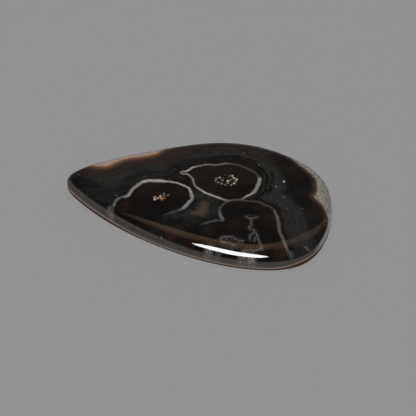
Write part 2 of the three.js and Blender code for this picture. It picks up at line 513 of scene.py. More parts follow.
def makeBlank():  # the unit disc, its wall, bevel and back, closed, as positions in the disc
    half = blank["cells"] // 2
    faceDisc, faceQuads, rim = discGrid(blank["cells"], evenReach(half))
    backCells = half - half % 2
    backDisc, backQuads, backRim = discGrid(backCells, np.linspace(0, 1, backCells // 2 + 1))
    rings = [(faceDisc, 0.0, 0.0, 1.0)]
    rings += [(faceDisc[rim], *row) for row in edgeRows()]
    rings.append((backDisc, blank["backRim"], 0.0, 0.0))
    starts = np.cumsum([0] + [len(ring[0]) for ring in rings])
    quads, above = [faceQuads], rim
    for start in starts[1:-2]:
        row = start + np.arange(len(rim))
        quads.append(np.stack([above, row, np.roll(row, -1), np.roll(above, -1)], -1))
        above = row
    quads.append(backQuads + starts[-2])
    faces = [tuple(quad) for quad in np.concatenate(quads).tolist()]
    faces += stitch(above.tolist(), (backRim + starts[-2]).tolist())
    flat = np.concatenate([ring[0] for ring in rings])
    mesh = bpy.data.meshes.new("blank")
    mesh.from_pydata(np.column_stack([flat, np.zeros(len(flat))]).tolist(), [], faces)
    for column, name in enumerate(("inset", "foot", "climb"), 1):
        storeNumbers(mesh, name, np.concatenate([np.full(len(ring[0]), ring[column]) for ring in rings]))
    return mesh


def stitch(outer, inner):  # joins a fine ring to a coarser one, both starting at the same corner
    faces = []
    outerCount, innerCount = len(outer), len(inner)
    i = j = 0
    while i < outerCount or j < innerCount:
        if j >= innerCount or (i < outerCount and (i + 1) * innerCount <= (j + 1) * outerCount):
            faces.append((outer[i % outerCount], inner[j % innerCount], outer[(i + 1) % outerCount]))
            i += 1
        else:
            faces.append((outer[i % outerCount], inner[j % innerCount], inner[(j + 1) % innerCount]))
            j += 1
    return faces


def refineHollows(mesh):  # finer quads where the pockets and pits are cut
    work = bmesh.new()
    work.from_mesh(mesh)
    climb = work.verts.layers.float["climb"]
    chosen = []
    for face in work.faces:
        if any(vert[climb] < 1 for vert in face.verts):
            continue
        centre = face.calc_center_median()
        x, y = planOf(centre.x, centre.y)
        for hollow in allHollows():
            margin = blank["refineMargin"] / min(hollow["halfX"], hollow["halfY"])
            if pocketReach(hollow, x, y) < 1 + margin:
                chosen.append(face)
                break
    edges = list({edge for face in chosen for edge in face.edges})
    bmesh.ops.subdivide_edges(work, edges=edges, cuts=blank["refine"], use_grid_fill=True)
    bmesh.ops.triangulate(work, faces=[face for face in work.faces if len(face.verts) > 4])
    bmesh.ops.recalc_face_normals(work, faces=work.faces)
    work.to_mesh(mesh)
    work.free()


def formValues():
    values = dict(form)
    for name, terms in planTerms.items():
        values.update({f"{name} {power}": term for power, term in enumerate(terms)})
    return values


def cabochonTree():
    tree, given = startForm("cabochonForm", formValues())
    u, v, _ = parts(addNode(tree, "GeometryNodeInputPosition"))
    foot, climb, inset, sink = (
        addNode(tree, "GeometryNodeInputNamedAttribute", {"Name": name}, "Attribute", data_type="FLOAT")
        for name in ("foot", "climb", "inset", "sink"))
    halfWidth, middleLine = (powerSum([given[f"{name} {power}"] for power in range(len(terms))], u)
                             for name, terms in planTerms.items())
    x = (given["Half Length"] - inset) * u
    y = (halfWidth - inset) * v + middleLine
    girdle = given["Girdle Slope"] * u + given["Girdle Top"]
    fall = highest(1.0 - calc("SQRT", u * u + v * v) ** given["Dome Power"], 0.0)
    dome = (given["Thickness"] - girdle) * calc("SQRT", fall)
    z = (girdle - foot + dome) * climb + foot - sink
    spot = scaled(addNode(tree, "ShaderNodeCombineXYZ", {"X": x, "Y": y, "Z": z}), mm)
    shaped = addNode(tree, "GeometryNodeSetPosition", {"Geometry": given["Geometry"], "Position": spot})
    smooth = addNode(tree, "GeometryNodeSetShadeSmooth", {"Geometry": shaped})
    return endForm(smooth, given["Material"])


def exactNormals(mesh, disc, polished):  # the dome's own normals, so that the face mirrors smoothly
    u, v = disc[:, 0], disc[:, 1]
    power = form["Dome Power"]
    width = polynomial(halfWidthTerms, u)
    rise = form["Thickness"] - form["Girdle Top"] - form["Girdle Slope"] * u
    level = np.sqrt(np.clip(1 - np.hypot(u, v) ** power, 0, 1))
    fall = rise * power / 2 * np.hypot(u, v) ** (power - 2)
    alongX = form["Girdle Slope"] * level * (1 - level) - fall * u
    alongY = -fall * v
    shift = slope(middleLineTerms, u) + slope(halfWidthTerms, u) * v
    exact = np.column_stack([shift * alongY - width * alongX, -form["Half Length"] * alongY,
                             form["Half Length"] * width * level])
    exact /= np.maximum(np.linalg.norm(exact, axis=1), 1e-9)[:, None]
    found = np.empty(len(mesh.vertices) * 3, np.float32)
    mesh.vertex_normals.foreach_get("vector", found)
    normals = np.where(polished[:, None], exact, found.reshape(-1, 3))
    mesh.normals_split_custom_set_from_vertices(normals.tolist())


def makeStoneMesh(material):
    mesh = makeBlank()
    refineHollows(mesh)
    disc = meshPoints(mesh)
    climb = readNumbers(mesh, "climb")
    sink = np.where(climb == 1, sinkAt(*planOf(disc[:, 0], disc[:, 1])), 0)
    storeNumbers(mesh, "sink", sink)
    shaped = runNodes(addObject("blank", mesh), cabochonTree(), {**formValues(), "Material": material})
    exactNormals(shaped, disc, (climb == 1) & (sink == 0))
    return shaped


# The agate's pattern: outlines in mm on the face, seen from above, that the shader turns into bands

pattern = {
    "lean": (0.06, -0.04),  # how far the bands lean for each mm of depth
    "grainRise": 0.3,  # how fast the grain changes with height, next to 1 across the face
    "pocketDepth": 2,  # mm below the top, as far down as pockets are coloured
    "farAway": 9,  # for places with no pocket
    "curveSteps": 8,  # from one point of an outline to the next
}
# How an eye's line shows: how pale it is, from 0 to 1, and half its width in mm
lineKinds = {"broad": (0.8, 0.5), "bright": (0.75, 0.28), "wide": (0.5, 0.45), "clear": (0.4, 0.28),
             "soft": (0.24, 0.38), "faint": (0.1, 0.34), "hidden": (0.0, 0.25)}
# Each eye's outline in mm, in stretches that show alike
eyeOutlines = {
    "upper": (
        ("clear", ((-4.1, 3.45), (-3.6, 3.95))),
        ("bright", ((-3.05, 3.95), (-2.5, 4.5), (-1.85, 5.4))),
        ("clear", ((-0.9, 5.9), (1.0, 6.75))),
        ("soft", ((1.9, 6.8), (2.8, 6.85), (4.3, 7.5))),
        ("faint", ((6.2, 7.7), (8.4, 7.1), (10.4, 6.1), (11.9, 4.7))),
        ("wide", ((12.3, 3.7), (12.15, 1.5), (11.65, -0.45))),
        ("bright", ((11.05, -1.25), (10.45, -1.75))),
        ("faint", ((9.2, -3.1), (7.3, -3.65))),
        ("clear", ((6.2, -3.75),)),
        ("bright", ((4.5, -3.1), (2.3, -2.35), (1.35, -1.8))),
        ("clear", ((-0.4, -0.4), (-0.85, 0.35), (-1.5, 2.05), (-2.15, 2.75), (-2.75, 3.15), (-3.6, 3.15)))),
    "left": (
        ("faint", ((-16.4, -9.2), (-16.2, -8.2))),
        ("soft", ((-15.95, -6.9), (-15.45, -6.05), (-14.75, -5.7))),
        ("wide", ((-13.75, -5.2), (-13.35, -4.25), (-13.0, -3.05), (-12.4, -2.1), (-11.75, -1.1))),
        ("broad", ((-10.95, -0.4), (-10.0, 0.0), (-8.0, 0.2))),
        ("bright", ((-6.0, 0.2), (-4.0, -0.05), (-2.05, -0.95), (-1.35, -1.75))),
        ("wide", ((-0.65, -3.6), (-0.65, -4.6), (-1.65, -7.0))),
        ("soft", ((-2.3, -7.8),)),
        ("faint", ((-3.2, -8.4), (-4.1, -9.0))),
        ("hidden", ((-6.4, -10.2), (-12.0, -12.5), (-15.5, -12.0)))),
    "lower": (
        ("faint", ((3.3, -10.9), (5.1, -10.0), (6.0, -9.8))),
        ("soft", ((6.55, -9.6), (6.2, -8.95), (5.7, -8.1))),
        ("faint", ((5.5, -6.2), (5.85, -5.3), (6.5, -4.4), (7.6, -3.5), (9.1, -3.15), (10.4, -3.35),
                   (12.7, -3.3), (13.4, -3.55), (15.3, -4.35), (16.2, -5.1))),
        ("soft", ((16.75, -6.1), (17.55, -8.3), (18.0, -10.6), (19.05, -12.7), (19.95, -14.3))),
        ("hidden", ((21.0, -16.2), (20.0, -20.0), (10.0, -21.5), (3.0, -19.0), (0.0, -14.5), (1.7, -11.9)))),
}
coreOutline = (  # the brown core against the pale grey rind
    (-26.6, 6.5), (-24.4, 5.6), (-22.7, 4.1), (-20.6, 3.6), (-19.3, 4.0), (-18.2, 5.1), (-17.0, 6.25),
    (-15.6, 7.05), (-14.0, 7.5), (-12.0, 8.2), (-10.4, 9.2), (-8.4, 12.4), (-6.6, 14.8), (-3.0, 18.5),
    (5.0, 20.5), (12.0, 17.4), (16.6, 14.6), (19.4, 11.5), (21.1, 9.9), (22.7, 8.4), (23.7, 6.8),
    (24.1, 5.0), (24.25, 3.3), (24.1, 2.0), (23.8, 0.95), (24.3, 0.45), (25.6, -0.6), (26.6, -1.9),
    (27.25, -3.5), (27.6, -5.3), (28.2, -7.4), (28.6, -9.4), (28.6, -12.0), (28.0, -16.0), (26.0, -20.0),
    (20.0, -24.0), (0.0, -24.0), (-20.0, -15.0), (-30.0, -10.0), (-31.0, 0.0), (-28.5, 4.5))
greenOutline = (  # where fine greenish-grey bands run round the eyes
    (-23.8, 0.4), (-21.0, 0.2), (-18.0, 1.0), (-15.4, 2.9), (-12.0, 4.6), (-8.0, 6.0), (-4.0, 9.2),
    (0.0, 11.2), (5.0, 12.2), (9.3, 11.6), (12.8, 10.0), (15.4, 8.3), (17.3, 5.1), (18.4, 2.2),
    (18.1, 0.2), (20.2, -1.6), (21.7, -3.2), (22.6, -5.2), (23.4, -7.4), (24.4, -9.6), (25.6, -11.6),
    (25.0, -15.0), (21.0, -17.5), (15.0, -14.0), (10.0, -8.0), (5.0, -9.4), (0.0, -9.8), (-6.0, -9.6),
    (-11.0, -5.0), (-14.8, -4.4), (-17.8, -3.6), (-19.6, -2.7), (-22.0, -1.0), (-24.0, 0.1))
tanOutline = (
    (1.5, -5.0), (2.7, -4.9), (3.1, -6.2), (3.0, -8.8), (2.0, -9.1), (0.2, -8.9), (-0.3, -8.3), (0.9, -7.3))
laceLines = (  # thin crystalline lines inside the lower eye
    ((10.8, -7.8), (11.4, -8.3), (12.1, -8.3), (12.8, -7.9), (13.3, -7.6)),
    ((12.1, -8.2), (12.2, -9.4), (12.3, -10.2), (11.8, -10.9)),
    ((12.0, -10.9), (12.7, -11.2), (13.4, -11.9), (13.9, -12.9), (14.3, -13.8), (14.7, -14.6),
     (15.1, -15.3)),
    ((15.0, -15.4), (14.2, -15.9), (13.0, -16.1), (11.6, -16.3)),
    ((13.0, -12.2), (12.4, -12.9), (12.5, -13.8)), ((13.4, -14.1), (13.6, -13.3)),
    ((6.7, -14.5), (7.2, -14.0), (8.2, -13.8), (9.1, -13.7), (9.6, -14.1), (10.4, -14.4), (11.3, -14.4)),
    ((7.0, -14.9), (8.2, -15.2), (9.8, -15.5)),
)
wavyLines = (  # faint thin lines over the left eye
    ((-5.3, 4.6), (-5.8, 3.6), (-6.2, 2.4), (-7.2, 2.0), (-8.8, 2.4), (-10.2, 1.8), (-11.6, 0.9),
     (-13.0, -0.3), (-14.3, -1.4), (-15.0, -3.0)),
    ((-6.6, 4.7), (-7.4, 3.8), (-9.0, 3.6), (-11.0, 3.0), (-13.0, 1.8), (-14.6, 0.3), (-15.6, -1.6),
     (-16.3, -3.8)),
    ((-6.0, 1.2), (-7.6, 1.2), (-9.6, 1.3), (-11.4, 0.5), (-12.8, -0.9), (-13.9, -2.4)),
    ((-4.7, 5.2), (-5.0, 3.6), (-4.4, 2.2), (-3.0, 1.4), (-2.2, 0.6)),
)
darkLines = (  # thin dark gaps between the bands beside the upper eye
    ((11.0, 8.3), (12.4, 7.0), (13.5, 5.4), (13.9, 3.8), (13.8, 2.0), (13.9, 0.4), (13.3, -0.9),
     (12.5, -2.1)),
    ((14.6, 6.0), (15.0, 4.0), (14.7, 2.4), (14.9, 0.6), (14.4, -0.8)),
    ((2.0, 9.3), (5.0, 10.2), (8.0, 10.1), (10.6, 9.3)),
)
# Soft stains: x, y, radius, strength
crumbSpots = ((12.1, -8.1, 1.5, 0.9), (12.2, -9.9, 0.7, 0.7), (12.2, -11.2, 1.0, 0.6),
              (13.2, -13.0, 1.6, 0.55), (8.0, -14.4, 1.9, 1.0), (10.2, -14.7, 1.7, 0.7),
              (15.0, -15.3, 0.9, 1.0), (12.6, -16.2, 1.6, 0.6), (8.9, -15.6, 1.6, 0.5))
wallSpots = ((4.8, -16.7, 1.5, 0.8), (6.8, -17.0, 1.0, 0.4), (11.6, -17.5, 1.4, 0.8),
             (13.4, -17.5, 1.5, 1.0), (-16.9, -9.8, 0.7, 0.7))
hazeSpots = ((-3.1, -9.4, 1.9, 0.2), (-1.1, -8.8, 1.9, 0.2), (-4.9, -10.4, 1.3, 0.12),
             (1.0, -3.0, 2.4, 0.16), (2.6, -4.2, 2.2, 0.14), (4.5, -7.2, 2.6, 0.14), (3.8, -12.2, 2.2, 0.12))
brownSpots = ((-13.8, -7.6, 2.2, 0.5), (-3.4, -13.9, 2.6, 0.7), (0.5, -15.0, 1.8, 0.5),
              (5.8, -11.0, 1.6, 0.3), (8.8, -3.9, 2.6, 0.3), (18.9, -15.2, 2.3, 1.0),
              (15.9, -15.6, 1.8, 0.4), (18.4, -10.0, 1.2, 0.2), (19.0, 7.4, 3.4, 0.3),
              (24.8, -2.6, 2.6, 0.3), (-19.5, 1.2, 3.0, 0.35))
ruddySpots = ((1.0, 4.6, 12.0, 1.0), (7.5, 6.0, 9.0, 0.8), (-10.4, -0.6, 6.5, 1.0), (-4.0, -2.0, 4.5, 0.6),
              (9.2, -10.2, 3.2, 0.75), (15.9, -7.6, 3.6, 0.9), (13.6, -5.0, 2.4, 0.5))
# milky marks; the small strong one at (-5.1, -13.95) is a painted glint of a tiny pit
milkyAndGlintSpots = ((-16.9, -7.9, 0.8, 0.5), (-16.2, -7.4, 0.6, 0.4), (-16.5, -9.1, 1.1, 0.9),
              (-5.1, -13.95, 0.17, 2.0), (23.3, -12.8, 0.22, 0.6), (23.7, -12.9, 0.25, 0.9),
              (24.05, -13.05, 0.27, 1.0), (24.4, -13.2, 0.22, 0.7), (21.1, -15.3, 1.0, 0.3),
              (13.1, 13.2, 0.25, 0.5), (-16.0, -5.2, 0.3, 0.5), (-25.05, 0.9, 0.24, 0.9),
              (-25.6, 1.4, 0.2, 0.5), (8.0, 11.7, 0.4, 0.55), (17.9, -0.9, 0.5, 0.4),
              (17.4, -3.3, 0.4, 0.3), (19.0, -4.2, 0.26, 0.75), (21.9, -3.5, 0.3, 0.45),
              (22.5, -10.3, 0.3, 0.35), (12.6, -5.3, 0.25, 0.35), (6.0, 6.1, 0.25, 0.35),
              (16.1, 1.4, 0.3, 0.4), (1.8, 11.4, 0.3, 0.3))


def smoothCurve(points, closed=True):  # a rounded line through the points, with their other values
    points = np.array(points, float)
    count = len(points)
    shares = np.linspace(0, 1, pattern["curveSteps"], endpoint=False)[:, None]
    spans = []
    for i in range(count if closed else count - 1):
        picks = [i - 1, i, i + 1, i + 2]
        p0, p1, p2, p3 = (points[k % count] if closed else points[min(max(k, 0), count - 1)] for k in picks)
        spans.append(0.5 * (2 * p1 + (p2 - p0) * shares + (2 * p0 - 5 * p1 + 4 * p2 - p3) * shares ** 2
                            + (3 * p1 - p0 - 3 * p2 + p3) * shares ** 3))
    end = points[:1] if closed else points[-1:]
    return np.concatenate(spans + [end])


def nearCurve(places, curve):  # distance to the curve, and the curve's other values at the nearest spot
    start, step = curve[:-1, :2], np.diff(curve[:, :2], axis=0)
    length2 = np.maximum((step ** 2).sum(1), 1e-12)
    distance = np.empty(len(places))
    extras = np.empty((len(places), curve.shape[1] - 2))
    batch = 4000  # places at a time, to save memory
    for first in range(0, len(places), batch):
        chunk = places[first:first + batch, None, :] - start
        share = np.clip((chunk * step).sum(2) / length2, 0, 1)
        gap = np.hypot(*np.moveaxis(chunk - share[..., None] * step, 2, 0))
        nearest = gap.argmin(1)
        row = np.arange(len(nearest))
        part = share[row, nearest][:, None]
        distance[first:first + batch] = gap[row, nearest]
        extras[first:first + batch] = (1 - part) * curve[nearest, 2:] + part * curve[nearest + 1, 2:]
    return distance, extras


def isInside(places, curve):
    inside = np.zeros(len(places), bool)
    x, y = places[:, 0], places[:, 1]
    for (x1, y1), (x2, y2) in zip(curve[:-1, :2], curve[1:, :2]):
        crosses = (y1 > y) != (y2 > y)
        reach = (x2 - x1) * (y - y1) / (y2 - y1 if y2 != y1 else 1) + x1
        inside ^= crosses & (x < reach)
    return inside


def signedDistance(places, outline):  # negative inside
    curve = smoothCurve(outline)
    distance, extras = nearCurve(places, curve)
    return np.where(isInside(places, curve), -distance, distance), extras


def nearLines(places, lines):
    return np.min([nearCurve(places, smoothCurve(line, closed=False))[0] for line in lines], axis=0)


def spotCover(places, spots):
    x, y = places[:, 0], places[:, 1]
    return np.max([strength * smoothStep(1.0, 0.0, np.hypot(x - spotX, y - spotY) / size)
                   for spotX, spotY, size, strength in spots], axis=0)


def spotTop(places, spots):  # the strength of the spot that a place lies in
    x, y = places[:, 0], places[:, 1]
    return np.max([np.where(np.hypot(x - spotX, y - spotY) < size, strength, 0)
                   for spotX, spotY, size, strength in spots], axis=0)


def eyeRows(stretches):  # an eye's points, each with how the line shows there
    return [place + lineKinds[kind] for kind, places in stretches for place in places]


def storePattern(mesh):
    points = meshPoints(mesh) / mm
    depth = form["Thickness"] - points[:, 2]
    places = points[:, :2] + depth[:, None] * np.array(pattern["lean"])
    eyes = [signedDistance(places, eyeRows(stretches)) for stretches in eyeOutlines.values()]
    hollow = nearestHollow(allHollows(), points[:, 0], points[:, 1])
    hollow = np.where(depth < pattern["pocketDepth"], hollow, pattern["farAway"])
    vectors = {
        "patternPlace": (places[:, 0], places[:, 1], pattern["grainRise"] * points[:, 2]),
        "eyeDistance": [distance for distance, _ in eyes],
        "eyeStrength": [np.clip(extras[:, 0], 0, 1) for _, extras in eyes],
        "eyeWidth": [extras[:, 1] for _, extras in eyes],
        "zones": [signedDistance(places, outline)[0] for outline in (coreOutline, greenOutline, tanOutline)],
        "lines": (nearLines(places, laceLines), nearLines(places, wavyLines), hollow),
        "spots": [spotCover(places, spots) for spots in (crumbSpots, brownSpots, milkyAndGlintSpots)],
        "depths": (spotCover(places, ruddySpots), nearLines(places, darkLines), spotCover(places, hazeSpots)),
    }
    for name, columns in vectors.items():
        storeVectors(mesh, name, columns)
    storeNumbers(mesh, "wallCrumbs", spotCover(places, wallSpots))
    # painted highlights: glint spots laid on the agate round the pockets
    storeNumbers(mesh, "glint", glintAt(points))


# Materials

agateLook = {
    "core": linear(21, 19, 18),
    "coreGreen": linear(27, 27, 25),
    "coreWarm": linear(45, 36, 33),
    "green": linear(43, 43, 41),
    "eyeInside": linear(19, 17, 16),
    "eyeBrown": linear(33, 26, 22),
    "stain": linear(50, 33, 27),
    "pale": linear(168, 163, 158),
    "paleCool": linear(163, 165, 162),
    "palePink": linear(162, 150, 143),
    "milkyAndGlint": linear(118, 119, 124),
    "wallMilk": linear(122, 120, 118),
    "tan": linear(76, 62, 53),
    "haze": linear(68, 66, 66),
    "lace": linear(108, 104, 103),
    "wallLace": linear(150, 143, 139),
    "wavy": linear(52, 53, 52),
    "gap": linear(16, 15, 14),
    "rimLeft": (  # mm across the core's edge, from inside to outside, and the colour there
        (-2.9, linear(38, 32, 30)), (-1.5, linear(54, 40, 36)), (-0.5, linear(98, 68, 53)),
        (-0.05, linear(140, 108, 89)), (0.4, linear(158, 138, 123)), (1.3, linear(152, 141, 131))),
    "rimRight": (
        (-1.5, linear(24, 20, 18)), (-1.1, linear(34, 26, 22)), (-0.7, linear(49, 37, 32)),
        (-0.25, linear(61, 47, 40)), (0.03, linear(92, 80, 72)), (0.3, linear(132, 124, 118)),
        (1.6, linear(131, 127, 121))),
    # the girdle's grey veil: its own ground grey, partly a painted reflection of the pale floor
    "veil": linear(96, 94, 90),
    "veilWarm": linear(98, 89, 84),
    "veilRight": linear(194, 188, 180),
    "veilTip": linear(118, 106, 100),
    # painted highlight: the pale line along the bevel's upper edge
    "bevelHighlight": linear(186, 170, 156),
    "bevel": linear(86, 56, 40),
    "pocket": linear(34, 25, 20),
    "warmth": 0.85,  # how strongly a marking shows, here and below
    "wavyStrength": 0.7,
    "gapStrength": 0.95,
    "laceGlow": 0.15,
    "curlStrength": 0.8,
    "dustStrength": 0.6,
    "crackStrength": 1.4,
    "bevelHighlightStrength": 0.88,
    "bandsPerMm": 2.2,
    "bandSway": 3.5,
    "strataPerMm": 1.5,
    "strataSway": 2.0,
    "crackStretch": (2.4, 0.6, 1),
    "crackTurn": 0.6,  # radians
    "scratchesPerMetre": (5200, 5200, 500),
    "polish": 0.02,
    "groundRoughness": 0.34,
    "ior": 1.54,
}


def ramp(value, low, high):  # 0 at low, 1 at high, smooth between
    inputs = {"Value": value, "From Min": low, "From Max": high}
    return addNode(value.tree, "ShaderNodeMapRange", inputs, interpolation_type="SMOOTHSTEP")


def attribute(tree, name, output="Vector"):
    return addNode(tree, "ShaderNodeAttribute", output=output, attribute_name=name)


def grain(place, scale, detail=2.0, roughness=0.5):
    inputs = {"Vector": place, "Scale": scale, "Detail": detail, "Roughness": roughness}
    return addNode(place.tree, "ShaderNodeTexNoise", inputs)


def layers(value, detail, roughness):  # uneven layers across a distance
    inputs = {"W": value, "Scale": 1.0, "Detail": detail, "Roughness": roughness}
    return addNode(value.tree, "ShaderNodeTexNoise", inputs, noise_dimensions="1D")


def around(value, reach):  # noise from 0 to 1 turned into -reach to reach
    return (value - 0.5) * (2 * reach)


def stretched(place, scale, turn=0.0):
    inputs = {"Vector": place, "Rotation": (0, 0, turn), "Scale": scale}
    return addNode(place.tree, "ShaderNodeMapping", inputs)


def tinted(colour, tone):
    inputs = {0: 1.0, 6: colour, 7: tone}
    return addNode(colour.tree, "ShaderNodeMix", inputs, 2, data_type="RGBA", blend_type="MULTIPLY")


def colourBand(value, stops):  # colours at given values, blended in between
    low, high = stops[0][0], stops[-1][0]
    share = addNode(value.tree, "ShaderNodeMapRange", {"Value": value, "From Min": low, "From Max": high})
    band = addNode(value.tree, "ShaderNodeValToRGB", {0: share})
    elements = band.socket.node.color_ramp.elements
    for _ in stops[2:]:
        elements.new(0.5)
    for element, (place, colour) in zip(elements, stops):
        element.position = (place - low) / (high - low)
        element.color = colour
    return band


def makeAgate(look):
    material, tree = newMaterial("polishedAgate")
    shader = tree.nodes["Principled BSDF"]
    place = attribute(tree, "patternPlace")
    x, y, _ = parts(place)
    wobble = around(grain(place, 0.8), 0.12) + around(grain(place, 2.4, 3.0, 0.6), 0.16)
    broad = grain(place, 0.22)
    speckle = grain(place, 2.4, 4.0, 0.65)
    fine = grain(place, 5.0, 3.0, 0.7)
    eyes, strengths, widths, zones, lines, spots, depths = (
        parts(attribute(tree, name))
        for name in ("eyeDistance", "eyeStrength", "eyeWidth", "zones", "lines", "spots", "depths"))
    coreEdge, greenEdge, tanEdge = zones
    laceGap, wavyGap, hollowReach = lines
    crumbs, brown, milkyAndGlint = spots
    ruddy, darkGap, haze = depths
    nearest = calc("SMOOTH_MIN", calc("SMOOTH_MIN", eyes[0], eyes[1], 0.3), eyes[2], 0.3) + wobble
    outside = coreEdge + wobble
    rightSide = ramp(x, 10.0, 18.0)

    # the core: near black, greenish here and there, brown far from the eyes and near the rind
    colour = mixColour(ramp(broad, 0.35, 0.62), look["core"], look["coreGreen"])
    upper = ramp(nearest, 3.6, 5.2) * ramp(x, 17.0, 11.0) * ramp(y, 2.5, 6.0)
    warm = highest(upper, ramp(outside, rightSide * 3.4 - 5.0, rightSide * 1.2 - 1.8))
    colour = mixColour(warm * look["warmth"], colour, look["coreWarm"])

    # fine bands that follow the eyes, darkest just outside the pale lines
    sway = grain(place, 0.45)
    bands = layers(nearest * look["bandsPerMm"] + sway * look["bandSway"], 4.0, 0.75)
    besideEye = ramp(x, 11.0, 13.5)
    overLeft = ramp(x, 0.0, -8.0)
    darkStart = besideEye * -1.2 + (overLeft * 0.5 + 1.7)
    darkEnd = besideEye * -1.4 + (overLeft * 1.2 + 3.3)
    blotches = ramp(grain(place, 0.7, 3.0), 0.35, 0.6)
    texture = ramp(bands, 0.36, 0.6) * 0.65 + (blotches * 0.25 + 0.14)
    green = ramp(wobble * 2.0 + greenEdge, 0.5, -0.9) * texture * ramp(nearest, darkStart, darkEnd)
    colour = mixColour(green, colour, look["green"])
    colour = mixColour(ramp(bands, 0.5, 0.7) * (rightSide * -0.24 + 0.3), colour, look["green"])
    strata = layers(outside * look["strataPerMm"] + sway * look["strataSway"], 3.0, 0.7)
    strata = ramp(strata, 0.35, 0.62) - 0.55
    colour = scaled(colour, strata * (rightSide * -0.35 + 0.55) + 1.0)
    shaky = around(grain(place, 1.1), 0.45)
    wavy = ramp(abs(wavyGap + shaky), 0.15, 0.02) * ramp(wavyGap, 0.6, 0.3) * ramp(speckle, 0.35, 0.65)
    colour = mixColour(wavy * look["wavyStrength"], colour, look["wavy"])
    gaps = ramp(abs(darkGap + shaky), 0.45, 0.1) * ramp(darkGap, 0.9, 0.5) * ramp(speckle, 0.15, 0.4)
    colour = mixColour(gaps * look["gapStrength"], colour, look["gap"])

    # the tan patch between the eyes
    tan = ramp(wobble * 2.0 + tanEdge, 0.7, -1.1) * (ramp(speckle, 0.3, 0.65) * 0.5 + 0.5)
    colour = mixColour(tan, colour, look["tan"])

    # inside the eyes
    covers = [ramp(gap + wobble, strength * -1.6 + 1.7, -0.1) for gap, strength in zip(eyes, strengths)]
    inside = highest(*covers)
    ruddy = ruddy * (ramp(grain(place, 0.6), 0.3, 0.65) * 0.4 + 0.7)
    colour = mixColour(inside, colour, mixColour(ruddy, look["eyeInside"], look["eyeBrown"]))
    colour = mixColour(brown * ramp(speckle, 0.2, 0.6), colour, look["stain"])

    # thin crystalline lace in the lower eye
    curl = abs(grain(place, 0.9, 3.0, 0.6) - 0.5)
    shaken = laceGap + around(grain(place, 2.4, 4.0, 0.65), 0.3)
    lace = ramp(abs(shaken), 0.3, 0.02) * ramp(fine, 0.34, 0.56) * ramp(speckle, 0.34, 0.52)
    nearLace = ramp(laceGap, 0.8, 0.1) * ramp(speckle, 0.35, 0.65) * look["laceGlow"]
    curls = ramp(curl, 0.05, 0.005) * crumbs * ramp(fine, 0.36, 0.56) * look["curlStrength"]
    dust = crumbs * ramp(fine, 0.45, 0.68) * ramp(speckle, 0.4, 0.6) * look["dustStrength"]
    colour = mixColour(highest(lace, curls, nearLace, dust), colour, look["lace"])
    colour = mixColour(haze * (fine * 0.8 + 0.6), colour, look["haze"])
    # milky marks, and the painted glint of a tiny pit
    colour = mixColour(milkyAndGlint * ramp(speckle, 0.2, 0.55), colour, look["milkyAndGlint"])

    # the pale line round each eye
    cool = highest(ramp(y, -4.0, -6.0), ramp(x, -12.5, -14.0))
    lineTone = mixColour(cool, look["pale"], look["paleCool"])
    lineTone = mixColour(ramp(x, 12.0, 15.0) * ramp(y, -3.0, -4.5), lineTone, look["palePink"])
    vary = grain(place, 1.3, 3.0, 0.6) + 0.4
    ragged = wobble + around(fine, 0.12)
    broken = ramp(fine, 0.3, 0.62) * 0.5 + 0.65
    for gap, strength, width in zip(eyes, strengths, widths):
        line = ramp(abs(gap + ragged) / (width * vary), 1.4, 0.35) * strength * broken
        colour = mixColour(line, colour, lineTone)

    # the core's edge, then the grey rind with its slanting cracks
    slanted = stretched(place, look["crackStretch"], look["crackTurn"])
    cracks = around(grain(slanted, 1.6, 3.0, 0.65), look["crackStrength"])
    mottle = cracks * rightSide + (grain(slanted, 1.2, 5.0, 0.7) * 0.7 + 0.65)
    rimTones = mixColour(ramp(x, -4.0, 8.0), colourBand(outside, look["rimLeft"]),
                         colourBand(outside, look["rimRight"]))
    inRim = ramp(outside, rightSide * 1.4 - 2.9, rightSide * 0.3 - 0.8)
    colour = mixColour(inRim, colour, scaled(rimTones, mottle))
    colour = scaled(colour, speckle * 0.4 + 0.8)

    # the ground girdle's grey veil, partly a painted reflection of the floor; a painted highlight along the
    # bevel's upper edge; and the bevel
    local = addNode(tree, "ShaderNodeTexCoord", output="Object")
    localX, _, height = parts(scaled(local, 1 / mm))
    # the veil: the girdle's ground grey with its scratches, partly a painted reflection of the pale floor
    veil = ramp(height - (ramp(localX, 8.0, -20.0) + 2.35), 0.2, -0.25)
    hatch = grain(stretched(local, look["scratchesPerMetre"]), 1.0)
    flat = addNode(tree, "ShaderNodeCombineXYZ", {"X": x, "Y": y})
    veilColour = mixColour(ramp(grain(flat, 0.5), 0.4, 0.6), look["veil"], look["veilWarm"])
    veilColour = mixColour(ramp(x, 25.2, 27.4), veilColour, look["veilRight"])
    tipFoot = ramp(x, -14.0, -23.0) * ramp(height, 2.8, 1.6)
    veilColour = mixColour(tipFoot, veilColour, look["veilTip"])
    # painted reflection: the veil grows stronger towards the foot, most at the tip
    footReflection = ramp(x, -12.0, -22.0) * 0.4 + 0.45
    scratchedAndMirrored = veil * (hatch * 0.4 + (ramp(height, 2.2, 0.9) * footReflection + 0.36))
    colour = mixColour(scratchedAndMirrored, colour, veilColour)
    colour = mixColour(milkyAndGlint * veil * 0.8, colour, look["wallMilk"])
    wallLace = attribute(tree, "wallCrumbs", "Fac") * ramp(fine, 0.4, 0.58) * ramp(height, 0.9, 1.2)
    colour = mixColour(wallLace, colour, look["wallLace"])
    # painted highlight: a pale line along the bevel's upper edge, as if its rounding caught the light
    overEdge = height - (ramp(x, 17.5, 25.0) * 0.7 + (ramp(x, -6.0, -20.0) * 0.5 + 0.64))
    edge = ramp(overEdge, -0.02, 0.05) * ramp(overEdge, 0.34, 0.16)
    colour = mixColour(edge * look["bevelHighlightStrength"], colour, look["bevelHighlight"])
    colour = mixColour(ramp(overEdge, 0.02, -0.06), colour, look["bevel"])

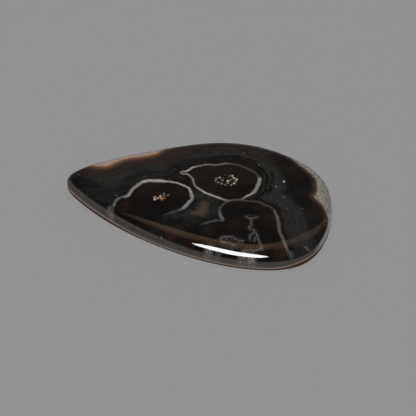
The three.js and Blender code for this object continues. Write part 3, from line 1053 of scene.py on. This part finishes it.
    # bare brown crystal inside the pockets, and painted highlights: glints painted on their rims
    hollow = ramp(hollowReach, 1.02, 0.92)
    colour = mixColour(hollow, colour, look["pocket"])
    # painted highlight: bright crystal tones painted on the agate where the glint spots fall
    glint = attribute(tree, "glint", "Fac")
    colour = mixColour(ramp(hollowReach, 1.35, 1.2) * ramp(glint, 0.25, 0.5), colour,
                       colourBand(glint, crystalLook["tones"]))
    feed(shader.inputs["Base Color"], colour)
    rough = highest(veil * look["groundRoughness"], hollow * crystalLook["roughness"], look["polish"])
    feed(shader.inputs["Roughness"], rough)
    shader.inputs["IOR"].default_value = look["ior"]
    return material


crystalLook = {
    # the bright end stands for painted glints; the dull end is the crystal's own colour
    "tones": (  # colours from dull to bright
        (0.0, linear(26, 21, 18)), (0.25, linear(54, 46, 40)), (0.5, linear(111, 103, 95)),
        (0.75, linear(164, 154, 141)), (1.0, linear(234, 219, 200))),
    "dyed": linear(255, 189, 155),  # orange in the left pocket's near half
    "flushed": linear(255, 238, 236),  # pinkish in the rest of it
    "roughness": 0.5,
    "specular": 0.05,
    "ior": 1.54,
    "pitSaturation": 0.1,
    "nearHalfX": (-0.0075, -0.0069),  # m, where the left pocket's near half starts and is full
    "nearHalfY": (-0.0041, -0.0046),
    "leftPocketX": (-0.002, -0.004),
    "leftPocketY": (-0.01, -0.008),
    "pitsX": (0.009, 0.0095),  # right of this the crystals are nearly grey
}
glitterReach = 0.55  # mm
glitterShine = {"bright": 0.95, "soft": 0.65}
# painted highlights: the glint spots that make the crystals bright
glitter = {  # where the crystals catch the light, in mm
    "bright": ((4.1, 3.0), (5.9, 2.15), (7.3, 1.6), (6.6, 3.9), (7.0, 3.3), (7.65, 2.95), (-8.1, -4.9),
               (-8.0, -5.6), (-7.4, -5.1), (-7.0, -4.4), (-6.8, -5.0)),
    "soft": ((3.4, 2.6), (3.4, 1.95), (4.0, 1.5), (4.75, 1.2), (5.55, 0.95), (4.8, 2.3), (6.0, 1.6),
             (6.75, 1.0), (7.5, 2.3), (6.4, 2.6), (-6.3, -4.1), (-5.6, -4.0), (-6.2, -4.9), (-6.5, -5.5)),
}
glitterLean = (0.16, -1.1)  # the light falls in at a slant: mm sideways for each mm under the face


# painted glints, for the crystals and for the agate round the pockets
def glintAt(points):  # how bright the glitter is at points in mm
    below = np.maximum(faceHeight(points[:, 0], points[:, 1]) - points[:, 2], 0)
    places = points[:, :2] + below[:, None] * np.array(glitterLean)
    spots = [(x, y, glitterReach, glitterShine[kind]) for kind, spread in glitter.items() for x, y in spread]
    return spotCover(places, spots)


def makeQuartz(look):
    material, tree = newMaterial("pocketQuartz")
    inputs = tree.nodes["Principled BSDF"].inputs
    # the crystals' tone is mostly painted glint brightness
    colour = colourBand(attribute(tree, "crystalToneAndGlint", "Fac"), look["tones"])
    x, y, _ = parts(addNode(tree, "ShaderNodeTexCoord", output="Object"))
    clear = addNode(tree, "ShaderNodeHueSaturation", {"Saturation": look["pitSaturation"], "Color": colour})
    nearHalf = ramp(x, *look["nearHalfX"]) * ramp(y, *look["nearHalfY"])
    dyed = mixColour(nearHalf, tinted(colour, look["flushed"]), tinted(colour, look["dyed"]))
    leftPocket = ramp(x, *look["leftPocketX"]) * ramp(y, *look["leftPocketY"])
    colour = mixColour(ramp(x, *look["pitsX"]), colour, clear)
    feed(inputs["Base Color"], mixColour(leftPocket, colour, dyed))
    for name, value in (("Roughness", "roughness"), ("Specular IOR Level", "specular"), ("IOR", "ior")):
        inputs[name].default_value = look[value]
    return material


stoneMesh = makeStoneMesh(makeAgate(agateLook))
print("stone shaped:", len(stoneMesh.polygons), "faces")
storePattern(stoneMesh)
stone = addObject("polishedStone", stoneMesh)
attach(stone, "root")
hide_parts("stone")
print("pattern laid")


# Quartz points that line the pockets

crust = {
    "Spacing": 0.14,  # mm between points at least
    "Smallest": 0.07,  # radius in mm
    "Largest": 0.17,
    "Lean": 0.55,  # radians
    "Seed": 4,
    "stem": 2.4,  # a point's stem and tip, in radii
    "tip": 1.1,
    "turn": 6.28,  # radians, any way round
    "most": 6e7,  # points for each square metre
    "belowFace": 0.03,  # mm that the tips stay under the polished face
    "patchRings": 9,
    "patchSteps": 36,
    "patchReach": 0.98,  # of a hollow's size
    "unevenTone": 0.35,
    "toneReach": 1.3,  # how far a pocket's own tones reach, in sizes
    "pitReach": 3,  # the same for a pit
}


def hollowFloors():  # a patch over the floor and walls of every pocket and pit, for the points to grow on
    verts, faces = [], []
    rings, steps = crust["patchRings"], crust["patchSteps"]
    for hollow in allHollows():
        base = len(verts)
        for ring in range(1, rings + 1):
            reach = crust["patchReach"] * ring / rings
            verts += [pocketPlace(hollow, reach, 2 * math.pi * step / steps) for step in range(steps)]
        verts.append((hollow["x"], hollow["y"]))
        for step in range(steps):
            after = (step + 1) % steps
            faces.append((len(verts) - 1, base + step, base + after))
            for low in range(base, base + (rings - 1) * steps, steps):
                faces.append((low + step, low + steps + step, low + steps + after, low + after))
    flat = np.array(verts)
    height = faceHeight(flat[:, 0], flat[:, 1]) - sinkAt(flat[:, 0], flat[:, 1])
    mesh = bpy.data.meshes.new("hollowFloors")
    mesh.from_pydata((np.column_stack([flat, height]) * mm).tolist(), [], faces)
    return mesh


def crustTree():
    tree, given = startForm("crystalCrust", ("Spacing", "Smallest", "Largest", "Lean", "Seed"))
    seed = given["Seed"]
    spread = addNode(tree, "GeometryNodeDistributePointsOnFaces",
                     {"Mesh": given["Geometry"], "Seed": seed, "Distance Min": given["Spacing"] * mm,
                      "Density Max": crust["most"]}, distribute_method="POISSON")
    sides = {"Vertices": 6, "Side Segments": 1, "Fill Segments": 1}
    stem = addNode(tree, "GeometryNodeMeshCylinder", {**sides, "Radius": 1.0, "Depth": crust["stem"]},
                   fill_type="NGON")
    tip = addNode(tree, "GeometryNodeMeshCone",
                  {**sides, "Radius Top": 0.0, "Radius Bottom": 1.0, "Depth": crust["tip"]}, fill_type="NGON")
    onStem = (0, 0, crust["stem"] / 2)
    lifted = addNode(tree, "GeometryNodeTransform", {"Geometry": tip, "Translation": onStem})
    crystal = addNode(tree, "GeometryNodeJoinGeometry", {0: stem})
    feed(crystal.socket.node.inputs[0], lifted)
    randomNode = "FunctionNodeRandomValue"
    sizes = {2: given["Smallest"], 3: given["Largest"], "Seed": seed}
    size = addNode(tree, randomNode, sizes, 1, data_type="FLOAT")
    lean, leanBack = given["Lean"], given["Lean"] * -1.0
    low = addNode(tree, "ShaderNodeCombineXYZ", {"X": leanBack, "Y": leanBack, "Z": 0.0})
    high = addNode(tree, "ShaderNodeCombineXYZ", {"X": lean, "Y": lean, "Z": crust["turn"]})
    tilt = addNode(tree, randomNode, {0: low, 1: high, "Seed": seed}, data_type="FLOAT_VECTOR")
    grown = addNode(tree, "GeometryNodeInstanceOnPoints",
                    {"Points": spread, "Instance": crystal, "Rotation": tilt, "Scale": size * mm})
    # a random tone for each crystal, later turned into the unevenness of its painted glints
    tone = addNode(tree, randomNode, {2: 0.0, 3: 1.0, "Seed": seed}, 1, data_type="FLOAT")
    stored = {"Geometry": grown, "Name": "crystalToneAndGlint", "Value": tone}
    toned = addNode(tree, "GeometryNodeStoreNamedAttribute", stored, data_type="FLOAT", domain="INSTANCE")
    return endForm(toned, given["Material"])


def trimToFace(mesh):  # the polish cuts every tip off level with the face
    points = meshPoints(mesh)
    limit = (faceHeight(points[:, 0] / mm, points[:, 1] / mm) - crust["belowFace"]) * mm
    points[:, 2] = np.minimum(points[:, 2], limit)
    mesh.vertices.foreach_set("co", points.astype(np.float32).ravel())
    mesh.update()


# painted highlights: crystals are bright only at the painted glint spots, pits by their own glint strength
def paintGlints(mesh):  # bright only where the glitter is, and unevenly
    points = meshPoints(mesh) / mm
    bright = glintAt(points) * (1.0 + crust["unevenTone"] * readNumbers(mesh, "crystalToneAndGlint"))
    pitBright = spotTop(points, [(x, y, crust["pitReach"] * size, shine) for x, y, size, shine in pits])
    inPocket = nearestHollow(pockets, points[:, 0], points[:, 1]) < crust["toneReach"]
    bright = np.where(inPocket, bright, pitBright)
    mesh.attributes["crystalToneAndGlint"].data.foreach_set("value", bright.astype(np.float32))


crystalMesh = runNodes(addObject("hollowFloors", hollowFloors()), crustTree(),
                       {**crust, "Material": makeQuartz(crystalLook)})
trimToFace(crystalMesh)
paintGlints(crystalMesh)
crystals = addObject("pocketCrystals", crystalMesh)
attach(crystals, "root")
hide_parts("stone")
print("crystals grown:", len(crystalMesh.polygons), "faces")
